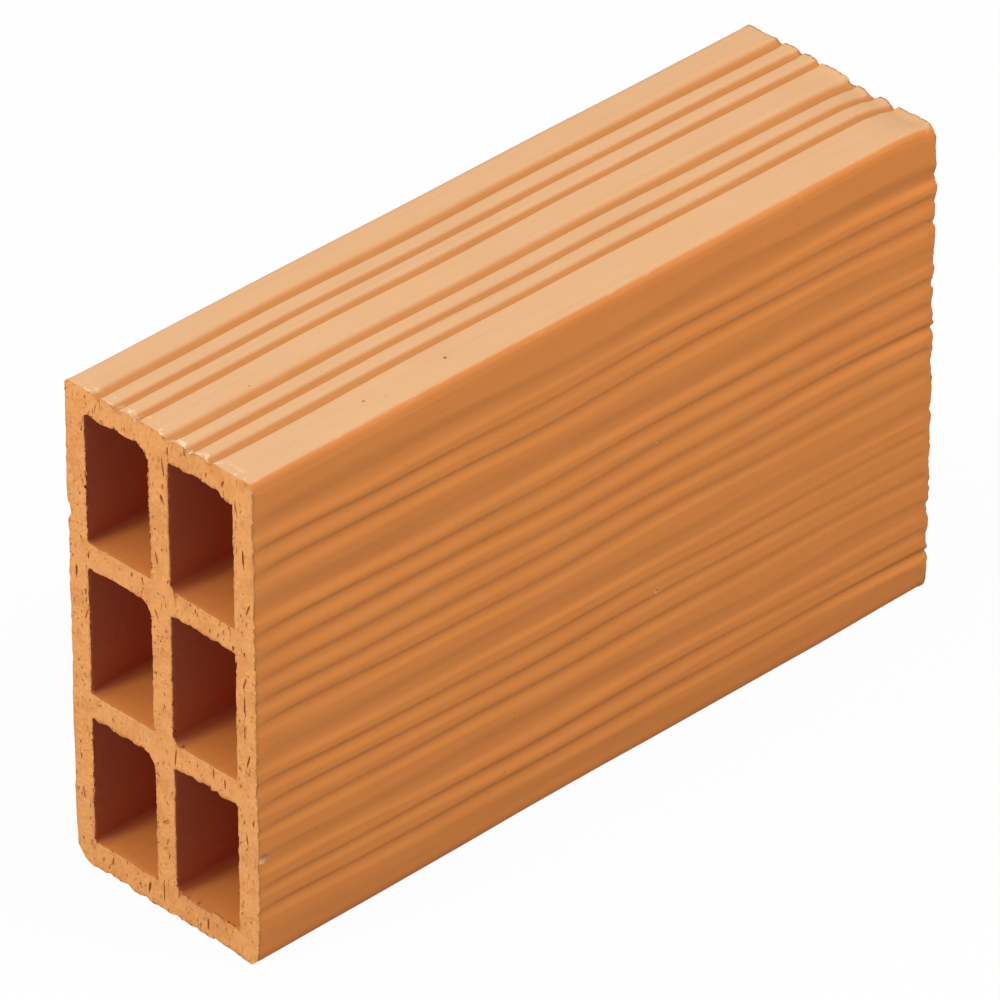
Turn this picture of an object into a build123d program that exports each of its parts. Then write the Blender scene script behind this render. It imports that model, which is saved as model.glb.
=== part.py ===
"""Hollow clay partition brick, one extruded and fired piece.

It stands on one of its long narrow sides. X runs along the extrusion, Y across the
thickness and Z up. The origin lies on the floor below the middle of the brick.
"""
from build123d import *

import os
from math import atan2, cos, sin

# Outside, millimetres.
LENGTH = 250.0
THICKNESS = 70.0
HEIGHT = 150.0

# Corners of the section, as the die rounds them.
CORNER_TOP_BACK = 1.2
CORNER_TOP_FRONT = 5.5
CORNER_BOTTOM = 6.5

# Walls and webs around the cells. Front is -Y, back is +Y.
COLUMNS = 2
ROWS = 3
WALL_BACK = 7.1
WALL_FRONT = 7.5
WALL_TOP = 7.2
WALL_BOTTOM = 8.5
WEB_MIDDLE = 7.2
WEB_CROSS = 7.5

# Corners of the cells. Clay heaps up in the corners beside the middle web.
CELL_CORNER = 1.0
CELL_CORNER_UPPER = 4.6
CELL_CORNER_LOWER = 2.2

# Key stripes on the two big faces: valleys in groups, counted from the top.
# A gap runs from the last valley of one group to the first of the next.
SIDE_GROUP_COUNTS = (3, 6, 4, 3)
SIDE_TOP_BAND = 18.0
SIDE_BOTTOM_BAND = 15.0
SIDE_GAP = 11.6
SIDE_DEPTH = 1.0
SIDE_DEPTH_FIRST = 1.05
SIDE_SLOPE_IN = 3.0
SIDE_SLOPE_IN_FIRST = 7.8
SIDE_SLOPE_OUT = 3.8

# Key grooves on the two narrow faces, counted from the back.
EDGE_GROUP_COUNTS = (3, 3)
EDGE_BACK_BAND = 11.8
EDGE_FRONT_BAND = 16.6
EDGE_GAP = 13.1
EDGE_DEPTH_TOP = 1.3
EDGE_DEPTH_BOTTOM = 0.7
EDGE_FLANK = 2.5
EDGE_FLANK_FIRST = 3.9


def valley_bottoms(first, last, counts, gap):
    """Pitch in a group, and each bottom with whether it is the first of its group."""
    steps = sum(counts) - len(counts)
    pitch = (last - first - gap * (len(counts) - 1)) / steps
    found = []
    at = first
    for count in counts:
        for place in range(count):
            found.append((at, place == 0))
            at += pitch
        at += gap - pitch
    return pitch, found


def big_face_valleys():
    """Valleys of a big face from the top down. Each group begins with a long slope."""
    pitch, bottoms = valley_bottoms(
        SIDE_TOP_BAND, HEIGHT - SIDE_BOTTOM_BAND, SIDE_GROUP_COUNTS, SIDE_GAP
    )
    slope_out = min(SIDE_SLOPE_OUT, pitch * 0.6)
    slope_in = min(SIDE_SLOPE_IN, pitch - slope_out)
    slope_in_first = min(SIDE_SLOPE_IN_FIRST, SIDE_GAP - slope_out)
    valleys = []
    for at, is_first in bottoms:
        depth = SIDE_DEPTH_FIRST if is_first else SIDE_DEPTH
        valleys.append((at - (slope_in_first if is_first else slope_in), at, at + slope_out, depth))
    return valleys


def narrow_face_valleys(depth):
    """Grooves of a narrow face from the back to the front."""
    pitch, bottoms = valley_bottoms(
        EDGE_BACK_BAND, THICKNESS - EDGE_FRONT_BAND, EDGE_GROUP_COUNTS, EDGE_GAP
    )
    side = min(EDGE_FLANK, pitch / 2)
    side_first = min(EDGE_FLANK_FIRST, EDGE_GAP / 2)
    valleys = []
    for at, is_first in bottoms:
        valleys.append((at - (side_first if is_first else side), at, at + side, depth))
    return valleys


def turned_round(valleys, length):
    """The same valleys counted from the other end of a face."""
    return [(length - c, length - b, length - a, d) for a, b, c, d in reversed(valleys)]


def flank(start, end, along, across):
    """Two equal tangent arcs from start to end, both ends running along the face."""
    run = abs((end - start).dot(along))
    rise = (end - start).dot(across)
    turn = 2 * atan2(rise, run)
    middle = (start + end) * 0.5
    slope = along * cos(turn) + across * sin(turn)
    return [Edge.make_tangent_arc(start, along, middle), Edge.make_tangent_arc(middle, slope, end)]


def face_edges(corner, along, inward, first, last, valleys):
    """Edges of one face of the section, from first to last, dipping into each valley."""
    def point(distance, depth=0.0):
        return corner + along * distance + inward * depth

    edges = []
    here = first
    for start, bottom, end, depth in valleys:
        if start - here > 0.01:
            edges.append(Edge.make_line(point(here), point(start)))
        edges += flank(point(max(start, here)), point(bottom, depth), along, inward)
        edges += flank(point(bottom, depth), point(end), along, inward)
        here = end
    edges.append(Edge.make_line(point(here), point(last)))
    return edges


def corner_arc(centre_y, centre_z, radius, from_angle):
    """Quarter round at one corner of the section, turning clockwise."""
    return Edge.make_circle(
        radius,
        Plane(origin=(centre_y, centre_z, 0)),
        start_angle=from_angle - 90,
        end_angle=from_angle,
    )


def outer_section():
    """Outline of the brick in the section plane, drawn with Y across and Z up."""
    half = THICKNESS / 2
    right = Vector(1, 0, 0)
    up = Vector(0, 1, 0)
    edges = []
    # Top face, back to front.
    edges += face_edges(
        Vector(half, HEIGHT, 0), -right, -up,
        CORNER_TOP_BACK, THICKNESS - CORNER_TOP_FRONT,
        narrow_face_valleys(EDGE_DEPTH_TOP),
    )
    edges.append(corner_arc(-half + CORNER_TOP_FRONT, HEIGHT - CORNER_TOP_FRONT, CORNER_TOP_FRONT, 180))
    # Front face, top to bottom.
    edges += face_edges(
        Vector(-half, HEIGHT, 0), -up, right,
        CORNER_TOP_FRONT, HEIGHT - CORNER_BOTTOM,
        big_face_valleys(),
    )
    edges.append(corner_arc(-half + CORNER_BOTTOM, CORNER_BOTTOM, CORNER_BOTTOM, 270))
    # Bottom face, front to back.
    edges += face_edges(
        Vector(-half, 0, 0), right, up,
        CORNER_BOTTOM, THICKNESS - CORNER_BOTTOM,
        turned_round(narrow_face_valleys(EDGE_DEPTH_BOTTOM), THICKNESS),
    )
    edges.append(corner_arc(half - CORNER_BOTTOM, CORNER_BOTTOM, CORNER_BOTTOM, 360))
    # Back face, bottom to top.
    edges += face_edges(
        Vector(half, 0, 0), up, -right,
        CORNER_BOTTOM, HEIGHT - CORNER_TOP_BACK,
        turned_round(big_face_valleys(), HEIGHT),
    )
    edges.append(corner_arc(half - CORNER_TOP_BACK, HEIGHT - CORNER_TOP_BACK, CORNER_TOP_BACK, 90))
    return Sketch() + Face(Wire(edges))


def cell_section(column, row):
    """One cell. Column 0 is at the back, row 0 at the top."""
    width = (THICKNESS - WALL_BACK - WALL_FRONT - WEB_MIDDLE * (COLUMNS - 1)) / COLUMNS
    height = (HEIGHT - WALL_TOP - WALL_BOTTOM - WEB_CROSS * (ROWS - 1)) / ROWS
    centre_y = THICKNESS / 2 - WALL_BACK - width / 2 - column * (width + WEB_MIDDLE)
    centre_z = HEIGHT - WALL_TOP - height / 2 - row * (height + WEB_CROSS)
    cell = Rectangle(width, height)
    back_to_front = cell.vertices().sort_by(Axis.X, reverse=True)
    heaped, plain = [], []
    for corner in back_to_front:
        inner = corner.X < 0 if column == 0 else corner.X > 0
        upper = corner.Y > 0
        chosen = heaped if inner and upper == (column == 0) else plain
        chosen.append(corner)
    heap = CELL_CORNER_UPPER if column == 0 else CELL_CORNER_LOWER
    cell = fillet(heaped, heap)
    plain_now = [
        corner for corner in cell.vertices()
        if any((corner.center() - old.center()).length < 1e-6 for old in plain)
    ]
    cell = fillet(plain_now, CELL_CORNER)
    return Pos(centre_y, centre_z) * cell


section = outer_section()
for column in range(COLUMNS):
    for row in range(ROWS):
        section -= cell_section(column, row)

brick = Pos(-LENGTH / 2, 0, 0) * extrude(Plane.YZ * section, LENGTH, dir=(1, 0, 0))
brick.label = "brick"

os.makedirs("parts", exist_ok=True)
export_step(brick, "parts/brick.step")
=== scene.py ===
"""A hollow clay brick as it leaves the kiln: striped skin, torn cut ends, pores, and its stage."""
import math
import random

import bpy
import numpy as np
from mathutils import Matrix, Vector, noise


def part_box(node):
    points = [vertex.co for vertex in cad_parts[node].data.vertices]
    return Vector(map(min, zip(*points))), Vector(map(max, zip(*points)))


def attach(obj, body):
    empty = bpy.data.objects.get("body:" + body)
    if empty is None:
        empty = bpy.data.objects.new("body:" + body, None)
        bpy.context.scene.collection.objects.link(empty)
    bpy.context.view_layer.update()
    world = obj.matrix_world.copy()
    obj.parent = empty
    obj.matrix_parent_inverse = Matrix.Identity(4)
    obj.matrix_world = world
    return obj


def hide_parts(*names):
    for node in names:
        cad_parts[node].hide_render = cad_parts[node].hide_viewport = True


bl_info = {
    "name": "Hollow Clay Brick",
    "version": (1, 0, 0),
    "blender": (4, 5, 0),
    "location": "View3D > Sidebar > Clay Brick",
    "description": "Models and finishes an extruded hollow clay brick around its measured frame",
    "category": "Add Mesh",
}

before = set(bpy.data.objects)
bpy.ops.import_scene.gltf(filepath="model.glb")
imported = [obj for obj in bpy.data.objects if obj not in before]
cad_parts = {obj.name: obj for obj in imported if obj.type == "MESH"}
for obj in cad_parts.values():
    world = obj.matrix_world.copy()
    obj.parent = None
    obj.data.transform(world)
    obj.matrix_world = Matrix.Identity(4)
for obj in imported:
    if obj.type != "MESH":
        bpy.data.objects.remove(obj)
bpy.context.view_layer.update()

NODE = "brick"
MM = 0.001
LOW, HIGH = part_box(NODE)
SIZE = HIGH - LOW
CENTRE = (LOW + HIGH) / 2
# Points no further apart than this are one place.
WELD = 0.001 * MM
# The outside lies within this distance of the frame's box. The cells lie deeper.
OUTER_DEPTH = 3.2 * MM
# Corners this near a cut face belong to its ring.
END_RING = 0.4 * MM
# A straight line of the section with more edges than this is a wall.
WALL_EDGES = 25
# Lines no further apart than this many millimetres are one wall.
WALL_APART = 0.5
# Clay kept round each pore, and between a pore and the outline.
PORE_GAP = 0.4 * MM
PORE_RIM = 1.2 * MM
# Attributes that the model keeps for the finish. The distance to the wall places the painted shade at the
# foot of the walls inside the cells.
GROOVE = "groove depth"
CORNER = "distance to the wall"

# Tones that the clay's colours are multiplied by. Two of them paint shade, into the valleys and onto the
# rounded top edge; the pore tone lightens the painted shade in pores here and there.
VALLEY_SHADE_TONE = (0.66, 0.74, 0.80)
CLOUD_TONE = (0.86, 0.78, 0.70)
STREAK_TONE = (0.90, 0.84, 0.78)
EDGE_SHADE_TONE = (0.86, 0.85, 0.88)
CRUMB_TONE = (0.84, 0.70, 0.58)
BLOTCH_TONE = (0.82, 0.70, 0.60)
PORE_SHADE_TONE = (1.7, 1.6, 1.5)

# Larger cracks of the left end: Y, Z, width and height in millimetres, and lean in radians.
CRACKS = (
    (-30.8, 125.8, 0.9, 7.0, 0.03),
    (-32.4, 111.2, 0.8, 4.6, 0.35),
    (-30.4, 80.2, 0.8, 7.4, -0.04),
    (-31.6, 63.8, 0.7, 5.6, 0.3),
    (-30.6, 38.6, 0.8, 3.6, -0.2),
    (-1.0, 130.2, 1.4, 3.0, -0.4),
    (0.2, 28.8, 1.5, 3.4, 0.9),
    (32.3, 92.2, 0.8, 4.2, 0.05),
    (7.0, 4.6, 0.9, 4.4, 0.15),
    (1.6, 6.4, 0.5, 7.6, 0.0),
    (21.4, 5.2, 0.7, 3.0, 0.1),
    (-15.2, 4.4, 0.7, 4.0, 0.0),
    (-23.6, 145.4, 1.2, 3.0, 0.4),
)

# Dark specks and pale nicks of the skin: X from the left end, Y and Z, and width in millimetres.
SPECKS = (
    (10.7, -35.0, 104.0, 1.1),
    (10.7, -35.0, 57.3, 1.1),
    (20.7, -35.0, 34.5, 0.9),
    (79.3, -35.0, 27.8, 0.8),
    (88.8, -35.0, 18.7, 0.8),
    (47.7, -26.0, 150.0, 1.0),
    (76.5, -26.0, 150.0, 1.1),
)
NICKS = (
    (2.3, -35.0, 34.3, 3.2),
    (96.8, -35.0, 72.3, 1.2),
    (145.0, -35.0, 96.5, 1.1),
    (145.0, -35.0, 49.5, 1.2),
    (112.7, -34.0, 144.0, 1.5),
    (166.0, -34.2, 143.2, 1.3),
)
# A flap of clay that hangs into a cell at the left end: Y, Z, half its width and its height in millimetres.
FLAP = (-25.0, 142.8, 3.0, 1.8)
# Long rounded edges of the front: radius in millimetres, Z of the corner, and how much fuller they are drawn.
FRONT_EDGES = (
    (5.5, HIGH.z, 0.15),
    (6.5, LOW.z, 0.22),
)
# Valleys that run deeper near one end: X, side, Z in millimetres and how much deeper.
DEEPER = (
    (-125.0, 1, 106.7, 0.9),
    (-125.0, 1, 60.9, 0.2),
    (125.0, -1, 132.0, 0.5),
    (125.0, -1, 86.2, 0.7),
    (125.0, -1, 15.0, 0.6),
)


class FiredBodySettings(bpy.types.PropertyGroup):
    """Sizes of what the die, the cutting wire and the kiln leave on the clay."""

    skin_step: bpy.props.FloatProperty(
        name="Skin step", description="Corner to corner round the striped outside",
        default=0.00065, min=0.0003, subtype="DISTANCE", unit="LENGTH",
    )
    cell_step: bpy.props.FloatProperty(
        name="Cell step", description="Corner to corner round a cell",
        default=0.00085, min=0.0003, subtype="DISTANCE", unit="LENGTH",
    )
    end_grid: bpy.props.FloatProperty(
        name="End grid", description="Grid of the two cut faces",
        default=0.0011, min=0.0004, subtype="DISTANCE", unit="LENGTH",
    )
    quick_end_grid: bpy.props.FloatProperty(
        name="Quick end grid", description="The same for a quick look",
        default=0.0018, min=0.0004, subtype="DISTANCE", unit="LENGTH",
    )
    first_ring: bpy.props.FloatProperty(
        name="First ring", description="Distance from a cut face to the ring behind it",
        default=0.0009, min=0.0001, subtype="DISTANCE", unit="LENGTH",
    )
    torn_zone: bpy.props.FloatProperty(
        name="Torn zone", description="How far the fine rings reach in from each end",
        default=0.0075, min=0.002, subtype="DISTANCE", unit="LENGTH",
    )
    skin_rings: bpy.props.IntProperty(
        name="Skin rings", description="Rings of the outside between the two torn zones", default=35, min=4,
    )
    cell_rings: bpy.props.IntProperty(
        name="Cell rings", description="Rings of the cells between the two torn zones", default=5, min=1,
    )
    wander: bpy.props.FloatProperty(
        name="Rib wander", description="How much higher the ribs of the big faces start at the left end",
        default=0.0019, min=0.0, subtype="DISTANCE", unit="LENGTH",
    )
    torn_depth: bpy.props.FloatProperty(
        name="Torn edges", description="How deep the wire tears the edges of the walls",
        default=0.0015, min=0.0, subtype="DISTANCE", unit="LENGTH",
    )
    crumb_depth: bpy.props.FloatProperty(
        name="Crumbs", description="Roughness of the cut faces",
        default=0.0005, min=0.0, subtype="DISTANCE", unit="LENGTH",
    )
    pores_per_end: bpy.props.IntProperty(
        name="Pores", description="Open pores on each cut end", default=95, min=0,
    )
    seed: bpy.props.IntProperty(name="Seed", description="Start of the random draws", default=7)


class FiredBodyFinish(bpy.types.PropertyGroup):
    """Colours of the fired clay, as the surface shows them under plain light. Some paint light and shade: a
    sheen on the upper side, glints, and shade in the valleys, cells and pores.
    """

    skin: bpy.props.FloatVectorProperty(
        name="Extruded skin", description="The smooth skin that the die leaves",
        subtype="COLOR", size=3, min=0.0, max=1.0, default=(0.83, 0.29, 0.066),
    )
    # Paler dust for blotches and drag marks, and also a painted sheen that makes the faces that look up
    # paler, as if the lamps lit them.
    dust_and_painted_sheen: bpy.props.FloatVectorProperty(
        name="Kiln bloom", description="The paler dust on the upper side",
        subtype="COLOR", size=3, min=0.0, max=1.0, default=(0.70, 0.407, 0.208),
    )
    cut: bpy.props.FloatVectorProperty(
        name="Cut face", description="The rough clay of the cut ends",
        subtype="COLOR", size=3, min=0.0, max=1.0, default=(0.72, 0.315, 0.097),
    )
    # Painted shade on the walls and ceilings inside the cells, and on the cell floors near the wall behind
    # them.
    cell: bpy.props.FloatVectorProperty(
        name="Cell skin", description="The skin inside the cells",
        subtype="COLOR", size=3, min=0.0, max=1.0, default=(0.56, 0.149, 0.066),
    )
    # Painted highlight: pale glints along the upper rim of the left end.
    rim_glint: bpy.props.FloatVectorProperty(
        name="Worn lip", description="The pale clay along the upper rim of the left end",
        subtype="COLOR", size=3, min=0.0, max=1.0, default=(0.86, 0.66, 0.46),
    )
    # Painted shade inside pores, cracks and pits; also the colour of the dark specks.
    pore: bpy.props.FloatVectorProperty(
        name="Pore", description="The clay deep in pores and cracks",
        subtype="COLOR", size=3, min=0.0, max=1.0, default=(0.42, 0.160, 0.060),
    )
    # Pale clay of fresh nicks and pale specks, and also the colour of the painted glints along the top edges.
    chip_and_glint: bpy.props.FloatVectorProperty(
        name="Fresh chip", description="The pale clay of fresh nicks",
        subtype="COLOR", size=3, min=0.0, max=1.0, default=(0.78, 0.50, 0.29),
    )


class StageSettings(bpy.types.PropertyGroup):
    """Camera, lamps and floor."""

    azimuth: bpy.props.FloatProperty(
        name="Azimuth", description="Direction of the camera round the brick",
        subtype="ANGLE", default=math.radians(-44.327),
    )
    elevation: bpy.props.FloatProperty(
        name="Elevation", description="Height of the camera above the horizon",
        subtype="ANGLE", default=math.radians(33.770),
    )
    roll: bpy.props.FloatProperty(
        name="Roll", description="Turn of the camera about its line of sight",
        subtype="ANGLE", default=math.radians(-0.085),
    )
    distance: bpy.props.FloatProperty(
        name="Distance", description="From the middle of the brick to the camera",
        subtype="DISTANCE", unit="LENGTH", default=2.8238,
    )
    focal_length: bpy.props.FloatProperty(
        name="Focal length", description="Of the lens, on a 36 mm sensor", default=385.5,
    )
    slide: bpy.props.FloatVectorProperty(
        name="Slide", description="How far the brick lies right of and above the line of sight",
        subtype="TRANSLATION", size=2, default=(0.00254, 0.00325),
    )
    key_strength: bpy.props.FloatProperty(
        name="Key lamp", description="Power of the large lamp above and behind",
        subtype="POWER", default=5.0,
    )
    front_strength: bpy.props.FloatProperty(
        name="Front lamp", description="Power of the high lamp before the big face",
        subtype="POWER", default=14.4,
    )
    side_strength: bpy.props.FloatProperty(
        name="Side lamp", description="Power of the lamp before the cut end",
        subtype="POWER", default=16.8,
    )
    sky_strength: bpy.props.FloatProperty(
        name="Sky", description="Strength of the even light from all sides", default=0.26,
    )


class Wire:
    """A socket of a material's nodes that can be added, multiplied and compared like a number."""

    def __init__(self, finish, socket):
        self.finish = finish
        self.socket = socket

    def maths(self, operation, first, *others):
        inputs = dict(enumerate((first, *others)))
        return self.finish.node("ShaderNodeMath", {"operation": operation}, inputs)

    def __add__(self, other):
        return self.maths("ADD", self, other)

    def __radd__(self, other):
        return self.maths("ADD", other, self)

    def __sub__(self, other):
        return self.maths("SUBTRACT", self, other)

    def __rsub__(self, other):
        return self.maths("SUBTRACT", other, self)

    def __mul__(self, other):
        return self.maths("MULTIPLY", self, other)

    def __rmul__(self, other):
        return self.maths("MULTIPLY", other, self)

    def __abs__(self):
        return self.maths("ABSOLUTE", self)

    def highest(self, other):
        return self.maths("MAXIMUM", self, other)

    def above(self, start, end):
        """0 below start, 1 above end, with a soft step between. Works downwards too."""
        settings = {"interpolation_type": "SMOOTHSTEP"}
        low, high = min(start, end), max(start, end)
        inputs = {"Value": self, "From Min": low, "From Max": high}
        inputs.update({"To Min": 0.0, "To Max": 1.0} if start < end else {"To Min": 1.0, "To Max": 0.0})
        return self.finish.node("ShaderNodeMapRange", settings, inputs)


class Finish:
    """One material and its nodes."""

    def __init__(self, name):
        self.material = bpy.data.materials.new(name)
        self.material.use_nodes = True
        self.tree = self.material.node_tree
        self.tree.nodes.clear()

    def node(self, kind, settings=None, inputs=None, output=0):
        """Adds a node, with its settings first and then its sockets' values or wires."""
        made = self.tree.nodes.new(kind)
        for name, value in (settings or {}).items():
            setattr(made, name, value)
        for name, value in (inputs or {}).items():
            if isinstance(value, Wire):
                self.tree.links.new(value.socket, made.inputs[name])
            else:
                made.inputs[name].default_value = value
        return Wire(self, made.outputs[output]) if made.outputs else None

    def millimetres(self, stretch=(1.0, 1.0, 1.0)):
        """Place on the brick in millimetres. A pattern runs longer the ways that stretch is over 1."""
        place = self.node("ShaderNodeTexCoord", output="Object")
        scale = tuple(1.0 / (MM * s) for s in stretch)
        return self.node("ShaderNodeVectorMath", {"operation": "MULTIPLY"}, {0: place, 1: scale})

    def parts(self, vector):
        """The three parts of a vector."""
        split = self.node("ShaderNodeSeparateXYZ", inputs={0: vector})
        return [Wire(self, socket) for socket in split.socket.node.outputs]

    def noise(self, place, size, detail=3.0, roughness=0.55):
        """Cloudy noise from 0 to 1 with features of about size millimetres."""
        inputs = {"Vector": place, "Scale": 1.0 / size, "Detail": detail, "Roughness": roughness}
        return self.node("ShaderNodeTexNoise", inputs=inputs)

    def specks(self, place, size, share, radius):
        """1 on scattered round specks: share of the cells of that size hold one."""
        cells = self.node("ShaderNodeTexVoronoi", inputs={"Vector": place, "Scale": 1.0 / size})
        tone = self.parts(Wire(self, cells.socket.node.outputs["Color"]))
        chosen = tone[0].above(share, share * 0.9)
        reach = tone[1] * (radius * 0.7) + radius * 0.5
        return (reach - cells).above(0.0, 0.12) * chosen

    def mix(self, factor, first, second, blend="MIX"):
        """Colour mix of first and second."""
        def colour(value):
            return value if isinstance(value, Wire) else (*value, 1.0)[:4]

        settings = {"data_type": "RGBA", "blend_type": blend}
        return self.node("ShaderNodeMix", settings, {0: factor, 6: colour(first), 7: colour(second)}, 2)

    def tint(self, factor, colour, tone):
        """The colour, multiplied by a tone where the factor is 1."""
        return self.mix(factor, colour, self.mix(1.0, colour, tone, "MULTIPLY"))

    def close(self, colour, roughness, height):
        """Principled clay with a bump whose height is in millimetres."""
        bump = self.node("ShaderNodeBump", inputs={"Strength": 1.0, "Distance": MM, "Height": height})
        surface = self.node("ShaderNodeBsdfPrincipled", inputs={
            "Base Color": colour, "Roughness": roughness, "Normal": bump,
            "Specular IOR Level": 0.25,
        })
        self.node("ShaderNodeOutputMaterial", inputs={"Surface": surface})
        return self.material


def fired_clay(colours):
    """Skin, cells and cut ends of the brick, told apart by their place, with painted sheen, glints and shade.
    """
    clay = Finish("fired clay")
    place = clay.millimetres()
    x, y, z = clay.parts(place)
    facing = clay.parts(clay.node("ShaderNodeTexCoord", output="Normal"))
    groove = clay.node("ShaderNodeAttribute", {"attribute_name": GROOVE}, output="Fac")
    before_wall = clay.node("ShaderNodeAttribute", {"attribute_name": CORNER}, output="Fac")

    # Zones, in millimetres from the faces.
    half = SIZE / 2 / MM
    top = HIGH.z / MM
    wall = 4.0
    end_zone = abs(x).above(half.x - 5.0, half.x - 4.0)
    cut = end_zone * abs(facing[0]).above(0.35, 0.7)
    in_y = abs(y).above(half.y - wall + 0.5, half.y - wall)
    in_z = abs(z - CENTRE.z / MM).above(half.z - wall + 0.5, half.z - wall)
    in_cell = in_y * in_z
    outside = 1.0 - in_cell
    flat = groove.above(0.2, 0.05)
    top_groove = groove.above(0.02, 0.12) * z.above(top - 8.0, top - 6.0)
    # Mask of the painted sheen on the faces that look up. It also takes in the top grooves, where the painted
    # shade of the valleys runs stronger.
    painted_top_sheen = facing[2].above(0.80, 0.96).highest(top_groove) * outside
    # Painted shade in the valleys of the ribs and grooves.
    painted_valley_shade = groove.above(0.1, 1.2) * outside
    slope = facing[2].above(0.55, 0.75) * facing[2].above(0.98, 0.9)
    # Painted shade on the rounded top edge, below the painted sheen.
    painted_edge_shade = facing[2].above(0.12, 0.4) * facing[2].above(0.98, 0.85) * z.above(top - 8.0, top - 5.0)
    near_rim = x.above(5.0 - half.x, 2.0 - half.x)

    # Patterns, the stretched ones as the die and the wire drag them.
    clouds = clay.noise(place, 26.0, detail=2.0)
    blotches = clay.noise(place, 6.0)
    streaks = clay.noise(clay.millimetres((60.0, 1.0, 1.0)), 1.6, roughness=0.6)
    # Painted highlights: glints along the rounded edges of the top.
    glints = clay.noise(clay.millimetres((5.0, 1.0, 1.0)), 1.3).above(0.58, 0.72)
    # Painted highlights along the upper rim of the left end.
    painted_rim_glints = clay.noise(place, 2.6).above(0.52, 0.68)
    grain = clay.noise(place, 0.45, roughness=0.6)
    crumbs = clay.noise(place, 1.1, detail=4.0, roughness=0.62)
    drag = clay.noise(clay.millimetres((1.0, 1.0, 9.0)), 0.8, detail=2.0)
    slits = clay.noise(clay.millimetres((1.0, 1.0, 2.6)), 0.9, roughness=0.6).above(0.64, 0.71)
    pits = clay.specks(clay.millimetres((1.0, 1.0, 1.7)), 1.9, 0.26, 0.12).highest(slits)
    dark_specks = clay.specks(place, 5.5, 0.10, 0.09)
    pale_specks = clay.specks(clay.millimetres((1.6, 1.0, 1.0)), 6.5, 0.10, 0.08)

    # The skin with a painted sheen on the faces that look up, kept out of the grooves, and painted shade in
    # its valleys; painted shade on the walls and ceilings inside the cells and on the floors near the wall
    # behind them.
    # Painted sheen on the faces that look up, kept out of the grooves so that they keep a painted shade.
    skin = clay.mix(painted_top_sheen * (1.0 - 0.95 * groove.above(0.0, 1.2)), colours.skin, colours.dust_and_painted_sheen)
    # Painted shade in the valleys, strongest on the top.
    skin = clay.tint(painted_valley_shade * (0.12 + 0.88 * painted_top_sheen), skin, VALLEY_SHADE_TONE)
    # Painted shade inside the cells: walls and ceilings, and the floor near the wall behind it.
    painted_cell_shade = facing[2].above(0.75, 0.25).highest(before_wall.above(5.5, 0.0) * 0.8)
    skin = clay.mix(in_cell * painted_cell_shade, skin, colours.cell)
    skin = clay.tint((clouds - 0.5) * 0.5 + 0.25, skin, CLOUD_TONE)
    skin = clay.tint(streaks.above(0.42, 0.72) * 0.28, skin, STREAK_TONE)
    # Painted glints along the rounded edges of the top, in the colour of fresh nicks.
    skin = clay.mix(glints * slope * flat * outside * 0.45, skin, colours.chip_and_glint)
    # Painted highlights on the upper rim of the left end.
    skin = clay.mix(painted_rim_glints * near_rim * facing[2].above(0.6, 0.9) * outside * 0.6, skin, colours.rim_glint)
    # Painted shade on the rounded top edge.
    skin = clay.tint(painted_edge_shade * flat * outside * (1.0 - painted_top_sheen), skin, EDGE_SHADE_TONE)
    skin = clay.mix(blotches.above(0.5, 0.75) * 0.05 * outside, skin, colours.dust_and_painted_sheen)
    skin = clay.mix(dark_specks * 0.8 * outside, skin, colours.pore)
    skin = clay.mix(pale_specks * 0.4 * outside, skin, colours.chip_and_glint)

    # The torn clay of the cut ends.
    torn = clay.tint(crumbs.above(0.45, 0.7) * 0.5, colours.cut, CRUMB_TONE)
    torn = clay.tint(blotches.above(0.42, 0.66) * 0.5, torn, BLOTCH_TONE)
    torn = clay.mix(drag.above(0.5, 0.75) * 0.25, torn, colours.dust_and_painted_sheen)
    # Painted shade in the small pits and slits of the cut faces, which the bump sinks only a little.
    torn = clay.mix(pits * 0.7, torn, colours.pore)

    roughness = 0.74 + 0.1 * (blotches - 0.5) + 0.14 * cut
    skin_height = 0.05 * streaks + 0.035 * grain + 0.12 * blotches - 0.25 * dark_specks
    cut_height = 0.42 * crumbs + 0.08 * grain + 0.15 * drag - 0.35 * pits
    height = skin_height * (1.0 - cut) + cut_height * cut
    return clay.close(clay.mix(cut, skin, torn), roughness, height)


def pore_shade_clay(colours):
    """Painted shade inside pores and cracks, also used inside the dark specks."""
    clay = Finish("pore shade")
    crumbs = clay.noise(clay.millimetres(), 0.5, detail=2.0)
    return clay.close(clay.tint(crumbs, colours.pore, PORE_SHADE_TONE), 0.9, 0.1 * crumbs)


def chip_clay(colours):
    """The pale clay inside fresh nicks."""
    clay = Finish("chip clay")
    crumbs = clay.noise(clay.millimetres(), 0.7)
    colour = clay.mix(crumbs * 0.6, colours.chip_and_glint, colours.cut)
    return clay.close(colour, 0.88, 0.12 * crumbs)


def select_only(*chosen):
    """Selects these objects and makes the last one active."""
    bpy.ops.object.select_all(action="DESELECT")
    for one in chosen:
        one.select_set(True)
        bpy.context.view_layer.objects.active = one


def apply_modifier(piece, name, kind, **settings):
    """Adds one modifier and applies it."""
    select_only(piece)
    modifier = piece.modifiers.new(name, kind)
    for key, value in settings.items():
        setattr(modifier, key, value)
    bpy.ops.object.modifier_apply(modifier=modifier.name)


def read(items, name, width=1, kind=float):
    """One property of all corners, edges or faces as an array."""
    found = np.empty(len(items) * width, dtype=kind)
    items.foreach_get(name, found)
    return found.reshape(-1, width) if width > 1 else found


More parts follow.
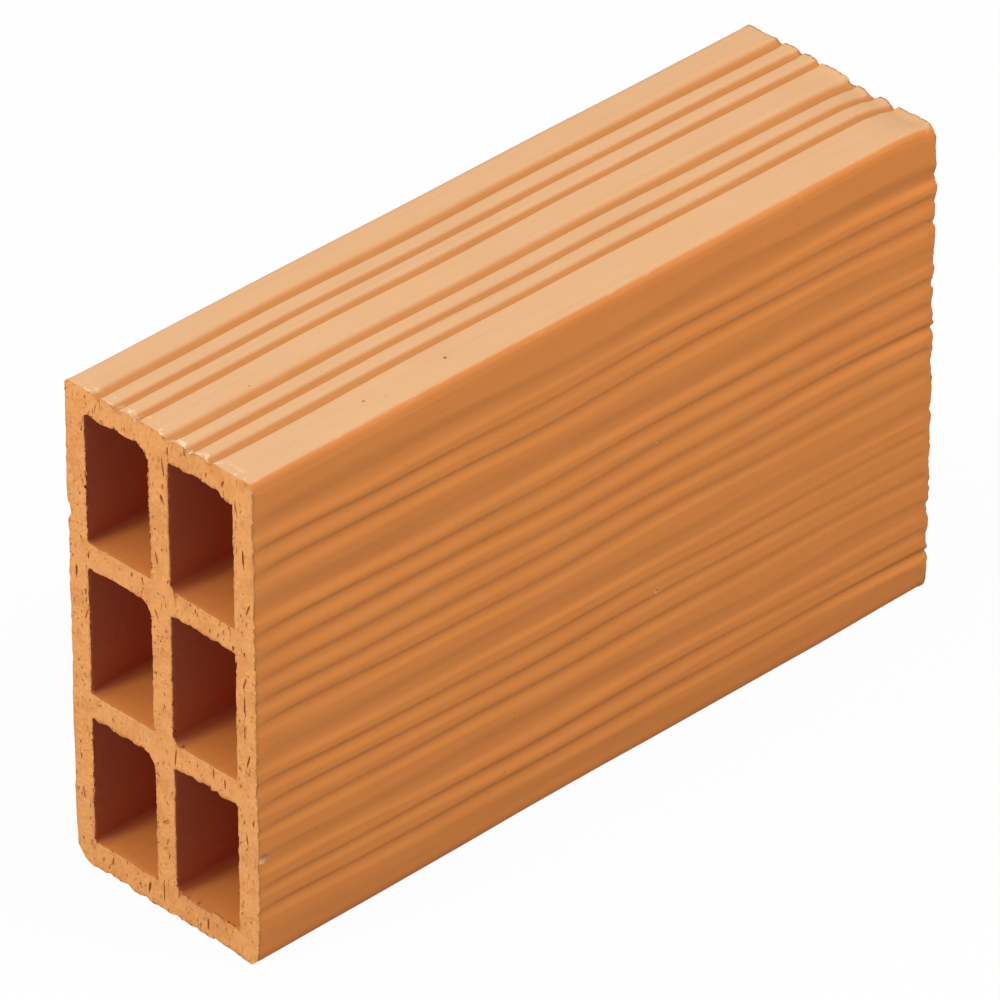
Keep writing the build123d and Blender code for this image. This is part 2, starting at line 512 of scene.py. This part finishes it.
def edit(piece, domain, chosen):
    """Goes to edit mode with only these corners, edges or faces selected."""
    mesh = piece.data
    for items in (mesh.vertices, mesh.edges, mesh.polygons):
        items.foreach_set("select", np.zeros(len(items), dtype=bool))
    getattr(mesh, domain).foreach_set("select", chosen)
    kinds = ("vertices", "edges", "polygons")
    bpy.context.tool_settings.mesh_select_mode = tuple(kind == domain for kind in kinds)
    bpy.ops.object.mode_set(mode="EDIT")


def leave_edit():
    bpy.ops.object.mode_set(mode="OBJECT")


def corners(piece):
    """Places of all corners."""
    return read(piece.data.vertices, "co", 3)


def move_corners(piece, at):
    """Puts all corners at these places."""
    piece.data.vertices.foreach_set("co", at.ravel())
    piece.data.update()


def edge_facts(piece):
    """Ends, middle and length of every edge."""
    at = corners(piece)
    ends = read(piece.data.edges, "vertices", 2, np.int32)
    first, second = at[ends[:, 0]], at[ends[:, 1]]
    return first, second, (first + second) / 2, np.linalg.norm(first - second, axis=1)


def off_sides(at):
    """Distances of points from the nearer big face and from the nearer narrow face of the frame's box."""
    return SIZE.y / 2 - np.abs(at[:, 1] - CENTRE.y), SIZE.z / 2 - np.abs(at[:, 2] - CENTRE.z)


def skin_depth(at):
    """Distance of points from the nearest side face of the frame's box."""
    return np.minimum(*off_sides(at))


def off_ends(at):
    """Distance of points from the nearer cut end of the frame's box."""
    return SIZE.x / 2 - np.abs(at[:, 0])


def section_wire(sizes):
    """The solid's outline and cells at the left end, as wires of evenly spaced corners."""
    piece = bpy.data.objects.new("fired_body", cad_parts[NODE].data.copy())
    piece.data.materials.clear()
    bpy.context.scene.collection.objects.link(piece)
    select_only(piece)
    at = corners(piece)
    edit(piece, "vertices", at[:, 0] > LOW.x + 0.01 * MM)
    bpy.ops.mesh.delete(type="VERT")
    bpy.ops.mesh.select_all(action="SELECT")
    bpy.ops.mesh.remove_doubles(threshold=WELD)
    bpy.context.tool_settings.mesh_select_mode = (False, True, False)
    bpy.ops.mesh.select_all(action="DESELECT")
    bpy.ops.mesh.select_non_manifold(
        use_wire=False, use_multi_face=False, use_non_contiguous=False, use_verts=False,
    )
    leave_edit()
    edit(piece, "edges", ~read(piece.data.edges, "select", kind=bool))
    bpy.ops.mesh.delete(type="EDGE")
    bpy.ops.mesh.select_all(action="SELECT")
    bpy.ops.mesh.remove_doubles(threshold=0.6 * sizes.skin_step)
    leave_edit()
    longest = edge_facts(piece)[3].max()
    for cuts in range(int(longest / sizes.skin_step), 0, -1):
        middle, length = edge_facts(piece)[2:]
        step = np.where(skin_depth(middle) < OUTER_DEPTH, sizes.skin_step, sizes.cell_step)
        wanted = np.rint(length / step) - 1 == cuts
        if wanted.any():
            edit(piece, "edges", wanted)
            bpy.ops.mesh.subdivide(number_cuts=cuts)
            leave_edit()
    return piece


def wall_lines(piece, across):
    """Where the long straight walls of the section lie along one direction."""
    first, second, middle, _ = edge_facts(piece)
    straight = np.abs(first[:, across] - second[:, across]) < WELD
    places, counts = np.unique(np.round(middle[straight, across] / MM, 2), return_counts=True)
    walls = places[counts > WALL_EDGES]
    walls = walls[np.abs(walls * MM - CENTRE[across]) < SIZE[across] / 2 - OUTER_DEPTH]
    walls = walls[np.append(True, np.diff(walls) > WALL_APART)[:len(walls)]]
    return np.array([LOW[across] / MM, *walls, HIGH[across] / MM])


def ring_steps(sizes, middle_count, growth=1.25):
    """Steps of the rings from end to end: fine and growing at both ends, even between."""
    fine = []
    step = sizes.first_ring
    while sum(fine) + step < sizes.torn_zone:
        fine.append(step)
        step *= growth
    middle = (SIZE.x - 2 * sum(fine)) / middle_count
    return fine + [middle] * middle_count + fine[::-1]


def pull_rings(piece, wires, steps):
    """Pulls wires of the section along the brick, one ring after the other."""
    edit(piece, "edges", wires)
    for step in steps:
        bpy.ops.mesh.extrude_edges_move(TRANSFORM_OT_translate={"value": (step, 0.0, 0.0)})
    leave_edit()


def lattice_places(lines, step):
    """Even places between the lines, and the inner lines themselves."""
    places = []
    for low, high in zip(lines[:-1], lines[1:]):
        count = max(1, round((high - low) * MM / step))
        places += [(low + (high - low) * place / count) * MM for place in range(1, count + 1)]
    return places[:-1]


def close_ends(piece, lines_y, lines_z, step):
    """Fills both cut ends and cuts them into an even grid."""
    for end in (LOW.x, HIGH.x):
        first, second = edge_facts(piece)[:2]
        at_end = np.maximum(np.abs(first[:, 0] - end), np.abs(second[:, 0] - end)) < WELD
        edit(piece, "edges", at_end)
        bpy.ops.mesh.fill(use_beauty=True)
        leave_edit()
    facing = read(piece.data.polygons, "normal", 3)
    edit(piece, "polygons", np.abs(facing[:, 0]) < 0.9)
    bpy.ops.mesh.hide(unselected=False)
    for direction, lines in (((0, 1, 0), lines_y), ((0, 0, 1), lines_z)):
        for place in lattice_places(lines, step):
            bpy.ops.mesh.select_all(action="SELECT")
            point = Vector(direction) * place
            bpy.ops.mesh.bisect(plane_co=point, plane_no=direction, threshold=WELD)
    bpy.ops.mesh.reveal(select=False)
    bpy.ops.mesh.select_all(action="SELECT")
    bpy.ops.mesh.normals_make_consistent(inside=False)
    bpy.ops.mesh.quads_convert_to_tris()
    leave_edit()


def weigh(piece, name, weights, steps=24):
    """Vertex group whose weights go in a few steps."""
    group = piece.vertex_groups.new(name=name)
    step_of = np.rint(np.clip(weights, 0.0, 1.0) * steps).astype(int)
    for step in range(1, steps + 1):
        members = np.nonzero(step_of == step)[0]
        if len(members):
            group.add(members.tolist(), step / steps, "REPLACE")
    return name


def press(piece, name, weights, size, depth, level=0.5, detail=2, direction="NORMAL", stretch=(1, 1, 1)):
    """Presses cloudy relief of that size and depth into the mesh where it has weight.

    The level is the tone of the clouds that leaves a corner where it is.
    """
    texture = bpy.data.textures.new(name, "CLOUDS")
    texture.noise_scale = size
    texture.noise_depth = detail
    bpy.ops.object.empty_add()
    guide = bpy.context.active_object
    guide.scale = stretch
    bpy.context.view_layer.update()
    apply_modifier(
        piece, name, "DISPLACE", texture=texture, texture_coords="OBJECT", texture_coords_object=guide,
        direction=direction, strength=depth, mid_level=level, vertex_group=weigh(piece, name, weights),
    )
    bpy.data.objects.remove(guide)
    bpy.data.textures.remove(texture)


def rise(value, start, end):
    """0 before start, 1 after end, with a soft step between. Works downwards too."""
    share = np.clip((value - start) / (end - start), 0.0, 1.0)
    return share * share * (3 - 2 * share)


def mark_grooves(piece):
    """Keeps for the finish how many millimetres a corner lies below its face. Rounded edges stay at 0."""
    at = corners(piece)
    depth = np.minimum(skin_depth(at) / MM, 2.0)
    depth *= rise(np.maximum(*off_sides(at)), 5.6 * MM, 7.5 * MM)
    piece.data.attributes.new(GROOVE, "FLOAT", "POINT").data.foreach_set("value", depth)


def square_edges(piece):
    """Draws the long rounded edges of the front out a little, as the die leaves them fuller."""
    at = corners(piece)
    for radius, corner_z, fuller in FRONT_EDGES:
        radius *= MM
        outward = math.copysign(1.0, corner_z - CENTRE.z)
        centre_z = corner_z - outward * radius
        y = LOW.y + radius - at[:, 1]
        z = (at[:, 2] - centre_z) * outward
        on_edge = (y > 0) & (z > 0) & (skin_depth(at) < OUTER_DEPTH)
        angle = np.arctan2(z, y)
        grow = 1.0 + fuller * np.sin(2 * angle) ** 2 * on_edge
        at[:, 1] = np.where(on_edge, LOW.y + radius - y * grow, at[:, 1])
        at[:, 2] = np.where(on_edge, centre_z + (at[:, 2] - centre_z) * grow, at[:, 2])
    move_corners(piece, at)


def mark_corners(piece, lines_y):
    """Keeps for the finish how many millimetres each corner lies before the next wall behind it."""
    y = corners(piece)[:, 1] / MM
    behind = lines_y[np.minimum(np.searchsorted(lines_y, y), len(lines_y) - 1)] - y
    piece.data.attributes.new(CORNER, "FLOAT", "POINT").data.foreach_set("value", behind)


def let_ribs_wander(piece, sizes):
    """Lets the ribs run off their straight lines and fade, as wet clay leaves the die."""
    at = corners(piece)
    along = (at[:, 0] - LOW.x) / SIZE.x
    off_y, off_z = off_sides(at)
    skin = rise(skin_depth(at), OUTER_DEPTH + 2 * MM, OUTER_DEPTH)
    off_corner = rise(off_z, 2 * MM, 6 * MM)

    # How far each rib lies above or below its line.
    waves = 0.24 * np.sin(9.5 * along + 0.4) + 0.13 * np.sin(21.0 * along + 2.0)
    start_high = rise(along, 0.28, 0.0)
    each_rib = 0.12 * np.sin(at[:, 2] * 260.0 + 13.0 * along)
    upper = rise(at[:, 2], LOW.z + 55 * MM, HIGH.z - 30 * MM)
    spread = upper * (0.35 + 0.7 * np.sin(math.pi * along)) - (1.0 - upper) * 0.9 * rise(along, 0.45, 0.95)
    lift = (start_high + waves + each_rib + spread) * sizes.wander * rise(off_z, 5 * MM, 14 * MM)
    sway = (0.5 * waves - 0.1 * start_high + 0.2 * np.sin(5.0 * along)) * sizes.wander

    # Where valleys run deeper, and where the ribs fade.
    groove = np.minimum(skin_depth(at), 2 * MM) * skin
    inward = -np.sign(at[:, 1])
    for x, side, z, deeper in DEEPER:
        near = np.exp(-((at[:, 0] / MM - x) / 35) ** 2 - ((at[:, 2] / MM - z) / 5) ** 2)
        at[:, 1] += inward * groove * deeper * near * (inward == -side)
    front_fades = (0.07 + 0.35 * rise(along, 0.05, 0.0) + 0.34 * along) * (at[:, 1] < 0) * off_corner
    back_fades = 0.6 * rise(along, 0.12, 0.0) * (at[:, 1] > 0) * off_corner
    at[:, 1] -= inward * groove * (front_fades + back_fades)

    # The foot is a little narrower, and the far upper corner droops.
    at[:, 1] -= at[:, 1] / (SIZE.y / 2) * skin * rise(at[:, 2], 14 * MM, 0.0) * 1.1 * MM
    droop = rise(at[:, 0], HIGH.x - 12 * MM, HIGH.x) * rise(at[:, 1], 8 * MM, -14 * MM)
    droop *= rise(at[:, 2], HIGH.z - 9 * MM, HIGH.z - 3 * MM)
    at[:, 2] += skin * lift - droop * 2.0 * MM
    at[:, 1] += skin * sway * rise(off_y, 4 * MM, 10 * MM)
    move_corners(piece, at)


def roughen_skin(piece):
    """Slow waves of the faces and of the depth of their ribs."""
    skin = rise(skin_depth(corners(piece)), OUTER_DEPTH + 1 * MM, OUTER_DEPTH)
    press(piece, "Slack ribs", skin, 7 * MM, 0.55 * MM, level=0.6, detail=1, stretch=(9, 1, 1))
    press(piece, "Slack faces", skin, 60 * MM, 0.8 * MM, level=0.6, detail=0, stretch=(1.5, 1, 1))


def tear_rims(piece, sizes):
    """Tears the outer edges at both ends, while the ends are still open, and levels them."""
    at = corners(piece)
    rim = np.where(skin_depth(at) < OUTER_DEPTH, rise(off_ends(at), 3.5 * MM, 0.3 * MM), 0.0)
    press(piece, "Ragged rims", rim, 4 * MM, 0.35 * sizes.torn_depth, level=0.8)
    press(piece, "Chipped far rim", rim * (at[:, 0] > 0), 1.7 * MM, 0.6 * MM, level=0.75)
    at = corners(piece)
    at[:, 0] = np.where(off_ends(at) < END_RING, np.copysign(SIZE.x / 2, at[:, 0]), at[:, 0])
    move_corners(piece, at)


def hang_flap(piece):
    """Pulls a flap of clay down from the ceiling of a cell, at its mouth."""
    at = corners(piece)
    y, z, half_width, height = (value * MM for value in FLAP)
    across = rise(np.abs(at[:, 1] - y), half_width, 0.6 * half_width)
    above = rise(np.abs(at[:, 2] - z), 2 * MM, 0.5 * MM)
    at[:, 2] -= across * above * rise(at[:, 0], LOW.x + 4 * MM, LOW.x) * height
    move_corners(piece, at)


def tear_ends(piece, sizes):
    """Tears the mouths of the cells and roughens the cut faces."""
    at = corners(piece)
    facing = read(piece.data.vertices, "normal", 3)
    near = rise(off_ends(at), 3.5 * MM, 0.3 * MM)
    outer = skin_depth(at) < OUTER_DEPTH
    inside = np.where(outer, 0.0, near)
    mouth = inside * (0.25 + 0.75 * rise(-facing[:, 2], 0.2, 0.7))
    press(piece, "Ragged mouths", mouth, 2.8 * MM, sizes.torn_depth, detail=3)
    for axis, letter in ((1, "Y"), (2, "Z")):
        wall = inside * np.abs(facing[:, axis]).clip(0.0, 0.7) / 0.7
        press(piece, "Nibbled walls", wall, 1.1 * MM, 0.6 * MM, detail=3, direction=letter)
    sole = np.where(outer, near, 0.0) * rise(at[:, 2], 6 * MM, 2 * MM)
    press(piece, "Ragged sole", sole, 2.6 * MM, 1.5 * MM, level=0.3, direction="Z")

    far = rise(at[:, 0], HIGH.x - 9 * MM, HIGH.x)
    press(piece, "Ragged far end", far, 8 * MM, -1.9 * MM, level=0.25, direction="X")
    rim = rise(at[:, 0], HIGH.x - 2 * MM, HIGH.x) * rise(skin_depth(at), OUTER_DEPTH, 0.5 * MM)
    press(piece, "Broken far rim", rim, 2.2 * MM, -1.3 * MM, level=0.35, direction="X")
    left = rise(at[:, 0], LOW.x + 5 * MM, LOW.x)
    press(piece, "Uneven cut", left, 14 * MM, 0.9 * MM, level=0.15, direction="X")

    cut = rise(off_ends(at), 0.8 * MM, 0.1 * MM) * np.where(np.abs(facing[:, 0]) > 0.99, 1.0, 0.25)
    press(piece, "Wire drag", cut, 1.3 * MM, 0.3 * sizes.crumb_depth, level=0.9, stretch=(1, 1, 6))
    press(piece, "Crumbs", cut, 1.1 * MM, sizes.crumb_depth, level=0.8, detail=3)


def keep_inside(piece):
    """Holds every corner inside the frame's box."""
    move_corners(piece, np.clip(corners(piece), np.array(LOW), np.array(HIGH)))


def slit_cutter():
    """A ragged ball one unit across, which gets its size when it is placed."""
    bpy.ops.mesh.primitive_ico_sphere_add(subdivisions=2, radius=0.5)
    slit = bpy.context.active_object
    texture = bpy.data.textures.new("slit", "CLOUDS")
    texture.noise_scale = 0.45
    apply_modifier(slit, "Ragged", "DISPLACE", texture=texture, strength=0.5)
    bpy.data.textures.remove(texture)
    return slit


def cut_away(piece, cutters, material):
    """Cuts the cutters out of the piece, which shows that material there, and clears their list."""
    select_only(*cutters)
    bpy.ops.object.join()
    joined = bpy.context.active_object
    joined.data.materials.append(material)
    apply_modifier(
        piece, "Cut away", "BOOLEAN", object=joined, operation="DIFFERENCE", solver="MANIFOLD",
        material_mode="TRANSFER",
    )
    bpy.data.objects.remove(joined)
    cutters.clear()


def cut_pores(piece, sizes, colours):
    """Cuts pores and drying cracks into both ends, and specks and nicks into the skin."""
    draw = random.Random(sizes.seed)
    at = corners(piece)
    slit = slit_cutter()
    cutters = []

    def reach(height):
        return height * MM / 2 + PORE_GAP

    def cut_at(x, y, z, width, height, depth, lean):
        mesh = slit.data.copy()
        size = Matrix.Diagonal((2 * depth * MM, width * MM, height * MM, 1.0))
        turn = Matrix.Rotation(draw.uniform(0, math.tau), 4, "Z")
        place = Matrix.Translation((x, y, z))
        mesh.transform(place @ Matrix.Rotation(lean, 4, "X") @ size @ turn)
        cutter = bpy.data.objects.new("cutter", mesh)
        bpy.context.scene.collection.objects.link(cutter)
        cutters.append(cutter)
        taken.append((y, z, reach(height)))

    for x, y, z, width in SPECKS:
        taken = []
        cut_at(LOW.x + x * MM, y * MM, z * MM, 0.9 * width, 0.8 * width, 0.6 * width, 0.0)
    for end in (LOW.x, HIGH.x):
        taken = []
        if end == LOW.x:
            for y, z, width, height, lean in CRACKS:
                cut_at(end, y * MM, z * MM, width, height, 1.6, lean)
        on_end = at[np.abs(at[:, 0] - end) < 1.2 * MM]
        wanted = len(cutters) + sizes.pores_per_end
        for _ in range(20 * sizes.pores_per_end):
            if len(cutters) >= wanted:
                break
            x, y, z = on_end[draw.randrange(len(on_end))]
            crowd = noise.noise(Vector((end, y, z)) / (11 * MM))
            height = 0.7 * math.exp(draw.uniform(0.0, 2.0) ** 1.15)
            on_rim = skin_depth(np.array([(x, y, z)]))[0] < PORE_RIM + 0.4 * height * MM
            alone = all(math.hypot(y - oy, z - oz) > reach(height) + other for oy, oz, other in taken)
            if on_rim or not alone or crowd < draw.uniform(-0.35, 0.25):
                continue
            width = draw.uniform(0.42, 0.8) * height ** 0.2
            cut_at(x, y, z, width, height, draw.uniform(0.3, 0.75), draw.gauss(0.0, 0.2))
    cut_away(piece, cutters, pore_shade_clay(colours))
    for x, y, z, width in NICKS:
        taken = []
        cut_at(LOW.x + x * MM, y * MM, z * MM, 0.8 * width, 1.1 * width, 0.55 * width, 0.3)
    cut_away(piece, cutters, chip_clay(colours))
    bpy.data.objects.remove(slit)


def sharpen_cuts(piece):
    """Keeps the rims of pores, specks and nicks sharp, so that the skin beside them shades evenly."""
    edit(piece, "polygons", read(piece.data.polygons, "material_index", kind=np.int32) > 0)
    bpy.ops.mesh.region_to_loop()
    bpy.ops.mesh.mark_sharp()
    leave_edit()


class BRICK_OT_fired_body(bpy.types.Operator):
    """Models the fired clay body with its striped skin, cells and torn ends"""

    bl_idname = "brick.fired_body"
    bl_label = "Fired Body"
    bl_options = {"REGISTER", "UNDO"}

    def execute(self, context):
        sizes = context.scene.brick_body
        colours = context.scene.brick_finish
        piece = section_wire(sizes)
        lines_y, lines_z = wall_lines(piece, 1), wall_lines(piece, 2)
        outer = skin_depth(edge_facts(piece)[2]) < OUTER_DEPTH
        pull_rings(piece, outer, ring_steps(sizes, sizes.skin_rings))
        added = np.zeros(len(piece.data.edges) - len(outer), dtype=bool)
        pull_rings(piece, np.concatenate([~outer, added]), ring_steps(sizes, sizes.cell_rings))
        mark_grooves(piece)
        mark_corners(piece, lines_y)
        square_edges(piece)
        let_ribs_wander(piece, sizes)
        roughen_skin(piece)
        tear_rims(piece, sizes)
        keep_inside(piece)
        close_ends(piece, lines_y, lines_z, sizes.end_grid)
        hang_flap(piece)
        tear_ends(piece, sizes)
        keep_inside(piece)
        piece.vertex_groups.clear()
        piece.data.materials.append(fired_clay(colours))
        cut_pores(piece, sizes, colours)
        select_only(piece)
        bpy.ops.object.shade_smooth_by_angle(angle=math.radians(45))
        sharpen_cuts(piece)
        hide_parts(NODE)
        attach(piece, "root")
        return {"FINISHED"}


def view_matrix(azimuth, elevation, roll):
    """Right, up and back of a camera that looks at the brick, as the columns of a matrix."""
    back = Vector((
        math.sin(azimuth) * math.cos(elevation),
        -math.cos(azimuth) * math.cos(elevation),
        math.sin(elevation),
    ))
    right = Vector((math.cos(azimuth), math.sin(azimuth), 0.0))
    up = back.cross(right)
    turned_right = math.cos(roll) * right + math.sin(roll) * up
    turned_up = math.cos(roll) * up - math.sin(roll) * right
    return Matrix((turned_right, turned_up, back)).transposed()


def add_camera(settings):
    """The camera at the catalogue view."""
    axes = view_matrix(settings.azimuth, settings.elevation, settings.roll)
    right, up, back = axes.transposed()
    place = CENTRE + settings.distance * back - settings.slide[0] * right - settings.slide[1] * up
    bpy.ops.object.camera_add(location=place, rotation=axes.to_euler())
    camera = bpy.context.active_object
    camera.data.lens = settings.focal_length
    camera.data.sensor_width = 36.0
    camera.data.clip_end = 50.0
    bpy.context.scene.camera = camera


def add_lamp(name, place, size, power):
    """A large soft lamp that faces the brick."""
    place = Vector(place)
    turn = (place - CENTRE).to_track_quat("Z", "Y").to_euler()
    bpy.ops.object.light_add(type="AREA", location=place, rotation=turn)
    lamp = bpy.context.active_object
    lamp.name = name
    lamp.data.shape = "DISK"
    lamp.data.size = size
    lamp.data.energy = power


def add_floor():
    """A white floor that keeps a soft shadow."""
    bpy.ops.mesh.primitive_plane_add(size=12.0, location=(0.0, 0.0, LOW.z))
    floor = bpy.context.active_object
    floor.name = "floor"
    paper = Finish("white floor")
    matt = paper.node("ShaderNodeBsdfDiffuse", inputs={"Color": (0.36, 0.36, 0.36, 1.0)})
    glow = paper.node("ShaderNodeEmission", inputs={"Color": (1.0, 1.0, 1.0, 1.0), "Strength": 1.06})
    seen = paper.node("ShaderNodeLightPath", output="Is Camera Ray")
    seen = seen.highest(paper.node("ShaderNodeLightPath", output="Is Glossy Ray"))
    surface = paper.node("ShaderNodeMixShader", inputs={0: seen * 0.9, 1: matt, 2: glow})
    paper.node("ShaderNodeOutputMaterial", inputs={"Surface": surface})
    floor.data.materials.append(paper.material)


def set_sky(strength):
    """Even white light from all sides. The camera sees plain white."""
    world = bpy.data.worlds.new("studio")
    bpy.context.scene.world = world
    world.use_nodes = True
    tree = world.node_tree
    tree.nodes.clear()
    light = tree.nodes.new("ShaderNodeBackground")
    light.inputs["Strength"].default_value = strength
    white = tree.nodes.new("ShaderNodeBackground")
    rays = tree.nodes.new("ShaderNodeLightPath")
    both = tree.nodes.new("ShaderNodeMixShader")
    out = tree.nodes.new("ShaderNodeOutputWorld")
    tree.links.new(rays.outputs["Is Camera Ray"], both.inputs[0])
    tree.links.new(light.outputs[0], both.inputs[1])
    tree.links.new(white.outputs[0], both.inputs[2])
    tree.links.new(both.outputs[0], out.inputs["Surface"])
    for background in (light, white):
        background.inputs["Color"].default_value = (1.0, 1.0, 1.0, 1.0)


class BRICK_OT_stage(bpy.types.Operator):
    """Sets the floor, the lamps and the camera"""

    bl_idname = "brick.stage"
    bl_label = "Stage"
    bl_options = {"REGISTER", "UNDO"}

    def execute(self, context):
        settings = context.scene.brick_stage
        add_floor()
        set_sky(settings.sky_strength)
        add_lamp("key", (-0.3, 0.35, 1.25), 1.0, settings.key_strength)
        add_lamp("front", (0.45, -0.8, 1.25), 0.6, settings.front_strength)
        add_lamp("side", (-1.4, 0.25, 0.5), 0.9, settings.side_strength)
        add_camera(settings)
        context.scene.view_settings.view_transform = "Standard"
        return {"FINISHED"}


class BRICK_PT_workshop(bpy.types.Panel):
    """Lists the brick's pieces and their settings"""

    bl_idname = "BRICK_PT_workshop"
    bl_label = "Clay Brick"
    bl_space_type = "VIEW_3D"
    bl_region_type = "UI"
    bl_category = "Clay Brick"

    def draw(self, context):
        for operator, group in (
            (BRICK_OT_fired_body.bl_idname, "brick_body"),
            (None, "brick_finish"),
            (BRICK_OT_stage.bl_idname, "brick_stage"),
        ):
            box = self.layout.box()
            if operator:
                box.operator(operator)
            settings = getattr(context.scene, group)
            for name in settings.__annotations__:
                box.prop(settings, name)


CLASSES = (
    FiredBodySettings, FiredBodyFinish, StageSettings, BRICK_OT_fired_body, BRICK_OT_stage, BRICK_PT_workshop,
)
GROUPS = {"brick_body": FiredBodySettings, "brick_finish": FiredBodyFinish, "brick_stage": StageSettings}


def register():
    for made in CLASSES:
        bpy.utils.register_class(made)
    for name, group in GROUPS.items():
        setattr(bpy.types.Scene, name, bpy.props.PointerProperty(type=group))


def unregister():
    for name in GROUPS:
        delattr(bpy.types.Scene, name)
    for made in reversed(CLASSES):
        bpy.utils.unregister_class(made)


def main():
    register()
    bpy.ops.brick.fired_body()
    bpy.ops.brick.stage()


if __name__ == "__main__":
    main()
